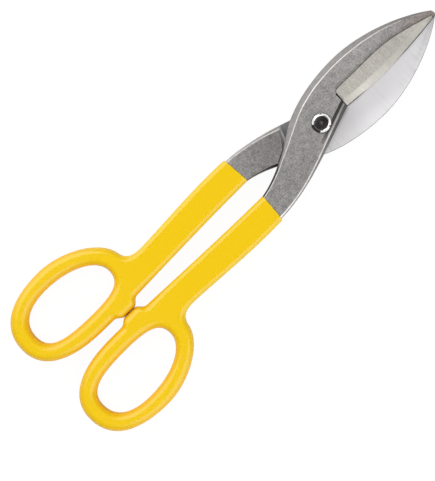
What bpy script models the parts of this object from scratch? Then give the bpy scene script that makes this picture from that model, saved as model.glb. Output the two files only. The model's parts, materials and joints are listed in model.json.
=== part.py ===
"""Straight-pattern tinner's snips: two forged halves on one pivot bolt, with vinyl-dipped ring handles.

Metres, +Z up. The snips lie flat and closed, with X along the tool and the tip at +X.
The origin is on the pivot axis, at the level that the tool rests on.
Both halves are the same forging: the rear one is the front one turned half round about X.
"""

import math

import bmesh
import bpy
import numpy as np
from mathutils import Vector
from mathutils.geometry import interpolate_bezier

MM = 0.001

# Blade, measured from the pivot axis: x towards the tip, y towards the spine
TIP_X = 90.3 * MM
TIP_Y = -0.5 * MM
NOSE_LENGTH = 1.5 * MM
NOSE_SPINE_Y = 2.6 * MM
NOSE_EDGE_Y = -2.0 * MM
SPINE_CREST_X = 30.4 * MM
SPINE_CREST_Y = 21.8 * MM
SPINE_WAIST_X = -17.4 * MM
SPINE_WAIST_Y = 10.1 * MM
EDGE_BELLY_X = 45.0 * MM
EDGE_BELLY_Y = -5.0 * MM
HEEL_X = 17.8 * MM
HEEL_Y = -3.6 * MM
PIVOT_THICKNESS = 4.8 * MM
TIP_THICKNESS = 2.4 * MM
SPINE_CHAMFER = 3.3 * MM
SPINE_CHAMFER_DROP = 1.95 * MM
BLADE_GAP = 0.3 * MM

# Headings of the blade's outlines: degrees from +X towards +Y, so 180 runs straight back
NOSE_SPINE_HEADING = 144.5
WAIST_HEADING = 214
ARM_IN_HEADING = 190
NOSE_EDGE_HEADING = 187
HEEL_EDGE_HEADING = 175
HEEL_ARM_HEADING = 198.5
ARM_OUT_HEADING = 181.5

# Laid cutting strip along the edge of each blade
STRIP_WIDTH = 11.2 * MM
STRIP_CROWN = 0.35 * MM
STRIP_CORNER = 2.2 * MM
STRIP_RAISE = 0.4 * MM
STRIP_END_SETBACK = 2.3 * MM
STRIP_END_WIDTH = 0.5 * MM
STRIP_END_HEADING = -20
EDGE_LAND = 0.5 * MM
HONED_BEVEL = 4.2 * MM
HONED_SHARE = 0.4
HONED_RISE = 0.55
STRIP_BREAK = 0.35 * MM
WELD_GAP = 0.2 * MM

# Shallow groove where the wheel that grinds the strip runs out behind the heel
RUNOUT_LENGTH = 10.5 * MM
RUNOUT_WIDTH = 1.45 * MM
RUNOUT_DEPTH = 0.6 * MM
RUNOUT_LAND = 1.35 * MM
RUNOUT_SPLAY = 0.06
RUNOUT_RISE = 0.05 * MM

# Arm, handle and finger loop: reach is measured back from the pivot, out from the centreline
ARM_THICKNESS = 10.0 * MM
ARM_CHAMFER = 2.0 * MM
ARM_STEP = 1.0 * MM
ARM_INSET = 0.15 * MM
MOUTH_REACH = 53.4 * MM
MOUTH_IN = 6.05 * MM
MOUTH_WIDTH = 17.7 * MM
MOUTH_TILT = math.radians(4.6)
ARM_ROOT_IN = 3.9 * MM
ARM_ROOT_OUT = 21.65 * MM
LOOP_FRONT_REACH = 144.8 * MM
LOOP_LENGTH = 56.2 * MM
LOOP_WIDTH = 28.65 * MM
RIM_BACK = 10.7 * MM
RIM_OUT = 10.15 * MM
RIM_IN = 10.85 * MM
RIM_FRONT = 10.5 * MM
LOOP_CLEARANCE = 3.0 * MM
FILLET_LENGTH = 14.1 * MM
LUG_SETBACK = 8.2 * MM
LUG_FACE = 6.0 * MM
LUG_FLANK = 7.0 * MM
STOP_GAP = 0.3 * MM

# Where the loop's oval turns, as shares of the hole's length from its front or of its width from inside
HOLE_FRONT_TURN = 0.39
HOLE_OUT_TURN = 0.595
HOLE_BACK_TURN = 0.47
HOLE_IN_TURN = 0.43
RIM_OUT_TURN = 0.52
RIM_IN_TURN = 0.46
THROAT_TURN = 0.535

# Slopes of the handle's edges, as out per reach going back from the mouth
MOUTH_OUT_SLOPE = 0.05
ARM_ROOT_SLOPE = -0.045
ARM_IN_SLOPE = -0.03
THROAT_SLOPE = 5.3

# Dipped vinyl grip over the arm and loop
VINYL = 1.0 * MM
VINYL_FIT = 0.2 * MM
GRIP_ROUND = 4.0 * MM

# Shoulder where the full arm steps down to the lap joint
SHOULDER_REACH = 24.8 * MM
SHOULDER_CLEARANCE = 0.9 * MM
SHOULDER_CROTCH_ANGLE = math.radians(28)
SHOULDER_SIDE_ANGLE = math.radians(54)

# Pivot bolt and slotted ring nut
SHANK_RADIUS = 3.9 * MM
NECK_ALLOWANCE = 1.0 * MM
HEAD_RIM = 3.6 * MM
HEAD_HEIGHT = 2.0 * MM
HEAD_CHAMFER = 0.6 * MM
NUT_WALL = 1.8 * MM
NUT_HEIGHT = 1.9 * MM
NUT_CHAMFER = 0.35 * MM
NUT_SLOTS = 4
NUT_SLOT_WIDTH = 1.1 * MM
NUT_SLOT_DEPTH = 0.9 * MM
NUT_SLOT_ANGLE = math.radians(50)
BOLT_DOME = 0.5 * MM
BOLT_END_SETBACK = 0.4 * MM
SEAT_DEPTH = 1.0 * MM
SEAT_GAP = 0.2 * MM
BORE_CLEARANCE = 0.15 * MM

# Derived sizes, with z counted from the shear plane inside each half
GRIP_THICKNESS = ARM_THICKNESS + 2 * VINYL
SHEAR_Z = GRIP_THICKNESS / 2
ARM_TOP = ARM_THICKNESS / 2
SHEAR_FACE = BLADE_GAP / 2
SEAT_FLOOR = PIVOT_THICKNESS - SEAT_DEPTH
MOUTH_OUT = MOUTH_IN + MOUTH_WIDTH
MOUTH_FRONT_REACH = MOUTH_REACH - MOUTH_WIDTH / 2 * math.tan(MOUTH_TILT)
ARM_STEP_REACH = MOUTH_FRONT_REACH - ARM_STEP
LOOP_IN = LOOP_CLEARANCE + RIM_IN
LOOP_OUT = LOOP_IN + LOOP_WIDTH
LOOP_BACK_REACH = LOOP_FRONT_REACH + LOOP_LENGTH
NECK_WIDTH = 2 * SHANK_RADIUS + NECK_ALLOWANCE
HEAD_RADIUS = SHANK_RADIUS + HEAD_RIM
NUT_RADIUS = SHANK_RADIUS + NUT_WALL

# Fullness of an outline's stretch: a round one is an elliptic quarter, a full one a squarer corner
STRAIGHT = 0.0
GENTLE = 0.33
EASY = 0.42
SLACK = 0.50
ROUND = 0.55
FULL = 0.65
BOLD = 0.75
STEPS = 8
TURN_STEPS = 48
STATION_STEP = 5.0 * MM
NOSE_STATIONS = (0.08, 0.3, 0.65)
OVERSHOOT = 12.0 * MM
CUT_FAR = 150.0 * MM

# Chamfers shrink towards the tip: the most that one takes of the local width and of the local height
WIDTH_SHARE = 0.3
HEIGHT_SHARE = 0.6


def clear_scene():
    for obj in list(bpy.data.objects):
        bpy.data.objects.remove(obj)


def collection(name):
    made = bpy.data.collections.new(name)
    bpy.context.scene.collection.children.link(made)
    return made


def material(name, colour, roughness, metallic):
    made = bpy.data.materials.new(name)
    made.use_nodes = True
    shader = made.node_tree.nodes["Principled BSDF"]
    shader.inputs["Base Color"].default_value = (*colour, 1.0)
    shader.inputs["Roughness"].default_value = roughness
    shader.inputs["Metallic"].default_value = metallic
    return made


def link(name, data, home):
    obj = bpy.data.objects.new(name, data)
    home.objects.link(obj)
    return obj


def helper(name, data):
    """An object that shapes others and is no piece of the snips."""
    obj = link(name, data, CUTTERS)
    obj.hide_render = True
    obj.display_type = "WIRE"
    return obj


def boolean(target, tool, operation):
    modifier = target.modifiers.new(tool.name, "BOOLEAN")
    modifier.object = tool
    modifier.operation = operation


def baked(obj):
    """The object's evaluated mesh in its own frame, welded closed; the object is removed."""
    graph = bpy.context.evaluated_depsgraph_get()
    mesh = bpy.data.meshes.new_from_object(obj.evaluated_get(graph))
    bpy.data.objects.remove(obj)
    form = bmesh.new()
    form.from_mesh(mesh)
    bmesh.ops.remove_doubles(form, verts=form.verts, dist=1e-7)
    bmesh.ops.recalc_face_normals(form, faces=form.faces)
    form.to_mesh(mesh)
    form.free()
    return mesh


def trace(knots, closed=False):
    """Points along a curve through knots of (point, direction, fullness of the stretch that follows)."""
    points = []
    following = knots[1:] + knots[:1] if closed else knots[1:]
    for (start, leaving, fullness), (end, arriving, _) in zip(knots, following):
        if fullness == STRAIGHT:
            points.append(start)
            continue
        chord = end - start
        first = start + leaving.normalized() * (fullness * abs(chord.dot(leaving.normalized())))
        second = end - arriving.normalized() * (fullness * abs(chord.dot(arriving.normalized())))
        points += interpolate_bezier(start, first, second, end, STEPS + 1)[:-1]
    return points if closed else points + [knots[-1][0]]


def flat(x, y):
    return Vector((x, y, 0.0))


def heading(degrees):
    return flat(math.cos(math.radians(degrees)), math.sin(math.radians(degrees)))


def at_handle(reach, out):
    """A plan point of the front half's handle, which lies behind the pivot on the -Y side."""
    return flat(-reach, -out)


def rail(points):
    """y as a function of x along a traced outline."""
    ordered = sorted(points, key=lambda p: p.x)
    xs = [p.x for p in ordered]
    ys = [p.y for p in ordered]
    return lambda x: float(np.interp(x, xs, ys))


# Plan outlines of the front half


def spine_points():
    """The back of the blade from the tip, over the crest and down the arm's inner side to its step."""
    arm_y = -(MOUTH_IN + VINYL)
    return trace([
        (flat(TIP_X, TIP_Y), heading(90), ROUND),
        (flat(TIP_X - NOSE_LENGTH, NOSE_SPINE_Y), heading(NOSE_SPINE_HEADING), GENTLE),
        (flat(SPINE_CREST_X, SPINE_CREST_Y), heading(180), GENTLE),
        (flat(SPINE_WAIST_X, SPINE_WAIST_Y), heading(WAIST_HEADING), GENTLE),
        (flat(-ARM_STEP_REACH, -(MOUTH_IN + ARM_INSET)), heading(ARM_IN_HEADING), STRAIGHT),
        (flat(-MOUTH_FRONT_REACH, arm_y), heading(180), STRAIGHT),
        (flat(-MOUTH_REACH - OVERSHOOT, arm_y), heading(180), STRAIGHT),
    ])


def cutting_edge_points():
    """The cutting edge from the tip back to the heel, slightly bowed."""
    return trace([
        (flat(TIP_X, TIP_Y), heading(270), ROUND),
        (flat(TIP_X - NOSE_LENGTH, NOSE_EDGE_Y), heading(NOSE_EDGE_HEADING), GENTLE),
        (flat(EDGE_BELLY_X, EDGE_BELLY_Y), heading(180), GENTLE),
        (flat(HEEL_X, HEEL_Y), heading(HEEL_EDGE_HEADING), GENTLE),
    ])


def heel_points():
    """The outer side of the arm from the heel of the blade back into the handle."""
    arm_y = -(MOUTH_OUT - VINYL)
    return trace([
        (flat(HEEL_X, HEEL_Y), heading(HEEL_ARM_HEADING), GENTLE),
        (flat(-MOUTH_REACH, arm_y), heading(ARM_OUT_HEADING), STRAIGHT),
        (flat(-MOUTH_REACH - OVERSHOOT, arm_y), heading(180), STRAIGHT),
    ])


def strip_back_points():
    """The inner side of the cutting strip, from its rounded heel corner to its point at the nose."""
    back_y = HEEL_Y + STRIP_WIDTH
    end_x = TIP_X - STRIP_END_SETBACK
    end_y = EDGE_RAIL(end_x) + STRIP_END_WIDTH
    return trace([
        (flat(HEEL_X, back_y - STRIP_CORNER), heading(90), ROUND),
        (flat(HEEL_X + STRIP_CORNER, back_y), heading(0), GENTLE),
        (flat((HEEL_X + EDGE_BELLY_X) / 2, back_y + STRIP_CROWN), heading(0), GENTLE),
        (flat(end_x, end_y), heading(STRIP_END_HEADING), GENTLE),
    ])


def handle_points():
    """The outside of a handle: arm, fillet, finger loop and stop lug. The arm runs on past the mouth."""
    ahead = MOUTH_REACH - OVERSHOOT
    throat = LOOP_FRONT_REACH - RIM_FRONT
    rim_crest = LOOP_FRONT_REACH + RIM_OUT_TURN * LOOP_LENGTH
    rim_low = LOOP_FRONT_REACH + RIM_IN_TURN * LOOP_LENGTH
    rim_end = LOOP_BACK_REACH + RIM_BACK
    lug_in = STOP_GAP / 2
    lug_front = LOOP_FRONT_REACH + LUG_SETBACK - LUG_FACE / 2
    lug_back = lug_front + LUG_FACE
    return trace([
        (at_handle(ahead, MOUTH_OUT), at_handle(1, 0), STRAIGHT),
        (at_handle(MOUTH_REACH, MOUTH_OUT), at_handle(1, MOUTH_OUT_SLOPE), GENTLE),
        (at_handle(throat - FILLET_LENGTH, ARM_ROOT_OUT), at_handle(1, ARM_ROOT_SLOPE), FULL),
        (at_handle(throat, LOOP_IN + THROAT_TURN * LOOP_WIDTH), at_handle(1, THROAT_SLOPE), EASY),
        (at_handle(rim_crest, LOOP_OUT + RIM_OUT), at_handle(1, 0), FULL),
        (at_handle(rim_end, LOOP_IN + HOLE_BACK_TURN * LOOP_WIDTH), at_handle(0, -1), FULL),
        (at_handle(rim_low, LOOP_CLEARANCE), at_handle(-1, 0), STRAIGHT),
        (at_handle(lug_back + LUG_FLANK, LOOP_CLEARANCE), at_handle(-1, 0), SLACK),
        (at_handle(lug_back, lug_in), at_handle(-1, 0), STRAIGHT),
        (at_handle(lug_front, lug_in), at_handle(-1, 0), SLACK),
        (at_handle(lug_front - LUG_FLANK, ARM_ROOT_IN), at_handle(-1, -ARM_IN_SLOPE), GENTLE),
        (at_handle(MOUTH_REACH, MOUTH_IN), at_handle(-1, 0), STRAIGHT),
        (at_handle(ahead, MOUTH_IN), at_handle(-1, 0), STRAIGHT),
    ])


def loop_hole_points():
    """The finger hole: an oval whose far end leans away from the centreline."""
    out_turn = LOOP_FRONT_REACH + HOLE_OUT_TURN * LOOP_LENGTH
    in_turn = LOOP_FRONT_REACH + HOLE_IN_TURN * LOOP_LENGTH
    return trace([
        (at_handle(LOOP_FRONT_REACH, LOOP_IN + HOLE_FRONT_TURN * LOOP_WIDTH), at_handle(0, 1), ROUND),
        (at_handle(out_turn, LOOP_OUT), at_handle(1, 0), FULL),
        (at_handle(LOOP_BACK_REACH, LOOP_IN + HOLE_BACK_TURN * LOOP_WIDTH), at_handle(0, -1), BOLD),
        (at_handle(in_turn, LOOP_IN), at_handle(-1, 0), BOLD),
    ], closed=True)


# Solid builders


def plate(name, thickness, rounding, inset, resolution):
    """A plate of the handle's outline, drawn in by inset, with rounded edges, about the shear plane."""
    curve = bpy.data.curves.new(name, "CURVE")
    curve.dimensions = "2D"
    curve.fill_mode = "BOTH"
    curve.extrude = thickness / 2 - rounding
    curve.bevel_depth = rounding
    curve.bevel_resolution = resolution
    curve.offset = -(inset + rounding)
    for points in (handle_points(), loop_hole_points()):
        spline = curve.splines.new("POLY")
        spline.points.add(len(points) - 1)
        for knot, point in zip(spline.points, points):
            knot.co = (point.x, point.y, 0.0, 1.0)
        spline.use_cyclic_u = True
    return helper(name, baked(helper(name + "_outline", curve)))


def loft(name, sections):
    """A solid through a row of like-numbered section loops, capped at both ends."""
    form = bmesh.new()
    loops = [[form.verts.new(point) for point in section] for section in sections]
    for here, there in zip(loops, loops[1:]):
        for i in range(len(here)):
            j = (i + 1) % len(here)
            form.faces.new((here[i], here[j], there[j], there[i]))
    form.faces.new(loops[0])
    form.faces.new(loops[-1])
    bmesh.ops.recalc_face_normals(form, faces=form.faces)
    mesh = bpy.data.meshes.new(name)
    form.to_mesh(mesh)
    form.free()
    return helper(name, mesh)


def turned(name, profile):
    """A solid of revolution about Z, from (radius, z) points listed down its outer side."""
    mesh = bpy.data.meshes.new(name)
    corners = [(radius, 0.0, z) for radius, z in profile]
    mesh.from_pydata(corners, [(i, i + 1) for i in range(len(corners) - 1)], [])
    obj = helper(name, mesh)
    screw = obj.modifiers.new("turn", "SCREW")
    screw.steps = TURN_STEPS
    screw.render_steps = TURN_STEPS
    screw.use_merge_vertices = True
    screw.merge_threshold = 1e-6
    return helper(name, baked(obj))


def box(name, size, centre):
    form = bmesh.new()
    bmesh.ops.create_cube(form, size=1.0)
    bmesh.ops.scale(form, vec=size, verts=form.verts)
    bmesh.ops.translate(form, vec=centre, verts=form.verts)
    mesh = bpy.data.meshes.new(name)
    form.to_mesh(mesh)
    form.free()
    return helper(name, mesh)


def ahead_of(reach):
    """A cutter for all that lies ahead of a cut square to the arm, which leans out as it runs back."""
    cutter = box("square_cut", (CUT_FAR, CUT_FAR, CUT_FAR), (CUT_FAR / 2, 0.0, 0.0))
    cutter.location = at_handle(reach, MOUTH_IN + MOUTH_WIDTH / 2)
    cutter.rotation_euler.z = -MOUTH_TILT
    return cutter


# Forged half


def blade_top(x):
    """Height of the outer face: level along the arm, tapering from the pivot to the tip."""
    if x > 0:
        return PIVOT_THICKNESS + (TIP_THICKNESS - PIVOT_THICKNESS) * x / TIP_X
    return PIVOT_THICKNESS + (ARM_TOP - PIVOT_THICKNESS) * min(1.0, -x / MOUTH_REACH)


def stations(start, end, step):
    count = max(2, math.ceil(abs(end - start) / step))
    return [start + (end - start) * i / count for i in range(count + 1)]


def forging_section(x):
    """Chamfered cross-section of the blade or arm at x, from the outer side round over the spine."""
    outer = HEEL_RAIL(x) if x < HEEL_X else EDGE_RAIL(x)
    spine = SPINE_RAIL(x)
    width = spine - outer
    top = blade_top(x)
    on_blade = min(1.0, max(0.0, 1 - x / (2 * SPINE_WAIST_X)))
    spine_cut = min(ARM_CHAMFER + (SPINE_CHAMFER - ARM_CHAMFER) * on_blade, WIDTH_SHARE * width)
    spine_drop = min(ARM_CHAMFER + (SPINE_CHAMFER_DROP - ARM_CHAMFER) * on_blade, HEIGHT_SHARE * top)
    cut = min(ARM_CHAMFER, WIDTH_SHARE * width)
    plan_and_height = [
        (outer, cut - ARM_TOP),
        (outer + cut, -ARM_TOP),
        (spine - cut, -ARM_TOP),
        (spine, cut - ARM_TOP),
        (spine, top - spine_drop),
        (spine - spine_cut, top),
        (outer + cut, top),
        (outer, top - min(cut, HEIGHT_SHARE * top)),
    ]
    return [Vector((x, y, z)) for y, z in plan_and_height]


def lap_cutter():
    """What the lap joint removes below the shear face: all ahead of the two-sided shoulder."""
    corner = flat(-SHOULDER_REACH, -SPINE_RAIL(-SHOULDER_REACH) - SHOULDER_CLEARANCE)
    crotch = flat(-math.cos(SHOULDER_CROTCH_ANGLE), math.sin(SHOULDER_CROTCH_ANGLE))
    side = flat(math.cos(SHOULDER_SIDE_ANGLE), -math.sin(SHOULDER_SIDE_ANGLE))
    plan = [
        corner,
        corner + side * CUT_FAR,
        flat(CUT_FAR, -CUT_FAR),
        flat(CUT_FAR, CUT_FAR),
        corner + crotch * CUT_FAR,
    ]
    levels = (SHEAR_FACE, -CUT_FAR)
    return loft("lap_cutter", [[p + Vector((0, 0, z)) for p in plan] for z in levels])


def strip_stations():
    """Stations along the cutting strip, close together round its heel corner and at its point."""
    end = TIP_X - STRIP_END_SETBACK
    corner = HEEL_X + STRIP_CORNER
    return stations(HEEL_X, corner, STRIP_CORNER / 4)[:-1] + stations(corner, end, STATION_STEP)


def strip_seat():
    """The rebate in the forging that the cutting strip is welded into."""
    sections = []
    xs = strip_stations()
    reach = [xs[0] - WELD_GAP] + xs[1:-1] + [xs[-1] + WELD_GAP]
    for x, moved in zip(xs, reach):
        back = STRIP_RAIL(x) + WELD_GAP
        front = EDGE_RAIL(x) - OVERSHOOT
        low, high = -OVERSHOOT, OVERSHOOT
        corners = ((front, low), (back, low), (back, high), (front, high))
        sections.append([Vector((moved, y, z)) for y, z in corners])
    return loft("strip_seat", sections)


def runout_groove():
    """The groove along the heel's ridge, deepest at the strip and rising out of the face behind it."""
    sections = []
    for x in stations(HEEL_X + STRIP_CORNER, HEEL_X - RUNOUT_LENGTH, STATION_STEP):
        share = min(1.0, 1 - (HEEL_X - x) / RUNOUT_LENGTH)
        floor = blade_top(x) - RUNOUT_DEPTH * share + RUNOUT_RISE
        near = HEEL_RAIL(min(x, HEEL_X)) + ARM_CHAMFER + RUNOUT_LAND + RUNOUT_SPLAY * (HEEL_X - x)
        far = near + RUNOUT_WIDTH
        corners = ((near, floor), (far, floor), (far, OVERSHOOT), (near, OVERSHOOT))
        sections.append([Vector((x, y, z)) for y, z in corners])
    return loft("runout_groove", sections)


def forged_half():
    """One drop forging: blade, arm, and handle core with its loop and stop lug, before the pivot hole."""
    back = MOUTH_REACH + OVERSHOOT / 2
    xs = [TIP_X - NOSE_LENGTH * share for share in NOSE_STATIONS]
    xs += stations(TIP_X - NOSE_LENGTH, HEEL_X, STATION_STEP)
    xs += stations(HEEL_X, -ARM_STEP_REACH, STATION_STEP)[1:]
    xs += stations(-MOUTH_FRONT_REACH, -back, STATION_STEP)
    blank = loft("forging", [forging_section(x) for x in xs])
    boolean(blank, lap_cutter(), "DIFFERENCE")
    boolean(blank, strip_seat(), "DIFFERENCE")
    boolean(blank, runout_groove(), "DIFFERENCE")
    core = plate("handle_core", ARM_THICKNESS - VINYL_FIT, ARM_CHAMFER, VINYL + VINYL_FIT / 2, 0)
    boolean(core, ahead_of(MOUTH_REACH + OVERSHOOT / 4), "DIFFERENCE")
    boolean(blank, core, "UNION")
    return baked(blank)


def cutting_strip():
    """Tool-steel strip: flat on the shear side, ground to a slope outside, honed along the edge."""
    sections = []
    for x in strip_stations():
        edge, back = EDGE_RAIL(x), STRIP_RAIL(x)
        width = back - edge
        top = blade_top(x) + STRIP_RAISE
        broken = min(STRIP_BREAK, WIDTH_SHARE * width)
        honed = min(HONED_BEVEL, HONED_SHARE * width)
        profile = [
            (edge, SHEAR_FACE),
            (back, SHEAR_FACE),
            (back, top - broken),
            (back - broken, top),
            (edge + honed, HONED_RISE * top),
            (edge, SHEAR_FACE + EDGE_LAND),
        ]
        sections.append([Vector((x, y, z)) for y, z in profile])
    return baked(loft("strip", sections))


# Dipped grip


def dipped_grip():
    """Vinyl skin over the handle core, open at the mouth where the bare arm comes out."""
    skin = plate("grip_skin", GRIP_THICKNESS, GRIP_ROUND, 0.0, 2)
    hollow = plate("grip_hollow", ARM_THICKNESS + 2 * VINYL_FIT, ARM_CHAMFER, VINYL - VINYL_FIT, 0)
    boolean(skin, hollow, "DIFFERENCE")
    boolean(skin, ahead_of(MOUTH_REACH), "DIFFERENCE")
    return baked(skin)


# Pivot


def pivot_bolt():
    """Low-headed bolt with a square neck that keys it to the rear half, and a domed black end."""
    head_top = -(SEAT_FLOOR + SEAT_GAP)
    head_low = head_top - HEAD_HEIGHT
    nut_top = SEAT_FLOOR + SEAT_GAP + NUT_HEIGHT
    end = nut_top - BOLT_END_SETBACK
    dome_angles = [math.radians(degrees) for degrees in (0, 25, 50, 75, 90)]
    profile = [(SHANK_RADIUS * math.sin(a), end + BOLT_DOME * math.cos(a)) for a in dome_angles]
    profile[0] = (0.0, end + BOLT_DOME)
    profile += [
        (SHANK_RADIUS, head_top),
        (HEAD_RADIUS, head_top),
        (HEAD_RADIUS, head_low + HEAD_CHAMFER),
        (HEAD_RADIUS - HEAD_CHAMFER, head_low),
        (0.0, head_low),
    ]
    bolt = turned("bolt", profile)
    neck_low = head_top - HEAD_HEIGHT / 2
    neck_top = -SHEAR_FACE - SEAT_GAP
    neck_size = (NECK_WIDTH, NECK_WIDTH, neck_top - neck_low)
    boolean(bolt, box("neck", neck_size, (0.0, 0.0, (neck_top + neck_low) / 2)), "UNION")
    return baked(bolt)


def pivot_nut():
    """Bright round nut with radial slots for a pin spanner."""
    low = SEAT_FLOOR + SEAT_GAP
    top = low + NUT_HEIGHT
    bore = SHANK_RADIUS + BORE_CLEARANCE
    nut = turned("nut", [
        (bore, top),
        (NUT_RADIUS - NUT_CHAMFER, top),
        (NUT_RADIUS, top - NUT_CHAMFER),
        (NUT_RADIUS, low),
        (bore, low),
        (bore, top),
    ])
    for i in range(NUT_SLOTS // 2):
        slot_size = (3 * NUT_RADIUS, NUT_SLOT_WIDTH, 2 * NUT_SLOT_DEPTH)
        slot = box(f"nut_slot_{i}", slot_size, (0.0, 0.0, top))
        slot.rotation_euler.z = NUT_SLOT_ANGLE + 2 * math.pi * i / NUT_SLOTS
        boolean(nut, slot, "DIFFERENCE")
    return baked(nut)


def nut_side_cutter():
    """Round bore and nut seat of the front half."""
    seat = NUT_RADIUS + SEAT_GAP
    bore = SHANK_RADIUS + BORE_CLEARANCE
    return turned("nut_side_bore", [
        (0.0, OVERSHOOT),
        (seat, OVERSHOOT),
        (seat, SEAT_FLOOR),
        (bore, SEAT_FLOOR),
        (bore, -OVERSHOOT),
        (0.0, -OVERSHOOT),
    ])


def head_side_cutters():
    """Square hole and bolt-head seat of the rear half, in that half's own turned frame."""
    width = NECK_WIDTH + 2 * BORE_CLEARANCE
    neck = box("neck_hole", (width, width, 2 * OVERSHOOT), (0.0, 0.0, 0.0))
    seat = turned("head_seat", [
        (0.0, OVERSHOOT),
        (HEAD_RADIUS + SEAT_GAP, OVERSHOOT),
        (HEAD_RADIUS + SEAT_GAP, SEAT_FLOOR),
        (0.0, SEAT_FLOOR),
    ])
    return neck, seat


def half_frame(name, turn):
    """Empty on the pivot axis at the shear plane that carries one half of the snips."""
    frame = link(name, None, SNIPS)
    frame.location = (0.0, 0.0, SHEAR_Z)
    frame.rotation_euler.x = turn
    return frame


def piece(name, mesh, finish, frame):
    obj = link(name, mesh, SNIPS)
    obj.parent = frame
    obj.data.materials.clear()
    obj.data.materials.append(finish)
    mesh.shade_smooth()
    mesh.set_sharp_from_angle(angle=math.radians(30))
    return obj


clear_scene()
SNIPS = collection("tinners_snips")
CUTTERS = collection("cutters")

SPINE_RAIL = rail(spine_points())
EDGE_RAIL = rail(cutting_edge_points())
HEEL_RAIL = rail(heel_points())
STRIP_RAIL = rail(strip_back_points())

FORGED_STEEL = material("forged_steel", (0.32, 0.31, 0.30), 0.55, 1.0)
GROUND_STEEL = material("ground_steel", (0.60, 0.58, 0.53), 0.35, 1.0)
YELLOW_VINYL = material("yellow_vinyl", (0.91, 0.62, 0.01), 0.25, 0.0)
BLACK_OXIDE = material("black_oxide", (0.03, 0.025, 0.025), 0.45, 1.0)
BRIGHT_ZINC = material("bright_zinc", (0.85, 0.85, 0.85), 0.15, 1.0)

FORGING = forged_half()
STRIP = cutting_strip()
GRIP = dipped_grip()

FRONT = half_frame("front_half", 0.0)
REAR = half_frame("rear_half", math.pi)

for side, half in (("front", FRONT), ("rear", REAR)):
    forging = piece(f"{side}_blade", FORGING.copy(), FORGED_STEEL, half)
    piece(f"{side}_cutting_edge", STRIP, GROUND_STEEL, half)
    piece(f"{side}_grip", GRIP, YELLOW_VINYL, half)
    holes = (nut_side_cutter(),) if side == "front" else head_side_cutters()
    for hole in holes:
        hole.parent = half
        boolean(forging, hole, "DIFFERENCE")

PIVOT = half_frame("pivot", 0.0)
piece("pivot_bolt", pivot_bolt(), BLACK_OXIDE, PIVOT)
piece("pivot_nut", pivot_nut(), BRIGHT_ZINC, PIVOT)
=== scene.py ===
"""Straight-pattern tin snips, dressed: forged halves, laid edges, dipped grips, pivot bolt and ring nut.

Metres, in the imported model's frame: X runs along the tool to the tip, and Z is the pivot axis.
A half is drawn in its own frame, with z counted from the shear plane and its handle on the -Y side.
"""

import json
import math

import bmesh
import bpy
import numpy as np
from mathutils import Matrix, Vector
from mathutils.geometry import interpolate_bezier


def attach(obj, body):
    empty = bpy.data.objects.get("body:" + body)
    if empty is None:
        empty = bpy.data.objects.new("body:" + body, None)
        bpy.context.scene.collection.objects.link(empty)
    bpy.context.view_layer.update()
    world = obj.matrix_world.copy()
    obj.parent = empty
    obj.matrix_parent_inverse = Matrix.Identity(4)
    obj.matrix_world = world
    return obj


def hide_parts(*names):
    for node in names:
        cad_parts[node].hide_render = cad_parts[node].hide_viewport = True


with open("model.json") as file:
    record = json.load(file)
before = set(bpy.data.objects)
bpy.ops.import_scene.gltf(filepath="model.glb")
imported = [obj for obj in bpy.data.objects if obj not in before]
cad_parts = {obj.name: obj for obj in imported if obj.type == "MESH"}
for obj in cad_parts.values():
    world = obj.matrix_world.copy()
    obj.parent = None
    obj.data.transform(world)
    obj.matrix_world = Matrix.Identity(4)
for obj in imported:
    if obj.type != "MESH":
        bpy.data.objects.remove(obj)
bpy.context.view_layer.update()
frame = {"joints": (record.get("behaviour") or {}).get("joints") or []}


# Forged halves: drop-forged steel, one blank used twice, blasted to a matt grey.
# The rear half is the front one turned half round about the tool's length. Each is ground flat where
# the blades shear, and handling has worn its long ridges bright.

MM = 0.001
SHEAR_Z = frame["joints"][0]["pos_m"][2]
SIDES = ("rear", "front")

# The blade's outline, and its headings in degrees.
TIP_X = 90.3 * MM
TIP_Y = -0.5 * MM
NOSE_LENGTH = 1.5 * MM
NOSE_SPINE_Y = 2.6 * MM
NOSE_EDGE_Y = -2.0 * MM
SPINE_CREST_X = 30.4 * MM
SPINE_CREST_Y = 21.8 * MM
SPINE_WAIST_X = -17.4 * MM
SPINE_WAIST_Y = 10.1 * MM
EDGE_BELLY_X = 45.0 * MM
EDGE_BELLY_Y = -5.0 * MM
HEEL_X = 17.8 * MM
HEEL_Y = -3.6 * MM
PIVOT_THICKNESS = 4.8 * MM
TIP_THICKNESS = 2.4 * MM
SHEAR_FACE = 0.15 * MM
WIDTH_SHARE = 0.3
HEIGHT_SHARE = 0.6

NOSE_SPINE_HEADING = 144.5
WAIST_HEADING = 214
ARM_IN_HEADING = 190
NOSE_EDGE_HEADING = 187
HEEL_EDGE_HEADING = 175
HEEL_ARM_HEADING = 198.5
ARM_OUT_HEADING = 181.5

# The cutting strip's rebate, and the groove behind it.
STRIP_WIDTH = 11.2 * MM
STRIP_CORNER = 2.2 * MM
STRIP_CORNER_STEPS = 8
STRIP_TURN_X = 49.0 * MM
STRIP_FALL = 0.12 * MM
STRIP_END_SETBACK = 2.3 * MM
STRIP_END_WIDTH = 1.85 * MM
STRIP_END_HEADING = -17
WELD_GAP = 0.2 * MM
WELD_SEAM = 0.01 * MM
WELD_LIP = 0.5 * MM
HEEL_GAP = 0.65 * MM
RUNOUT_LENGTH = 28.0 * MM
RUNOUT_WIDTH = 1.9 * MM
RUNOUT_DEPTH = 0.6 * MM
RUNOUT_LAND = 3.3 * MM
RUNOUT_RISE = 0.05 * MM

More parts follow.
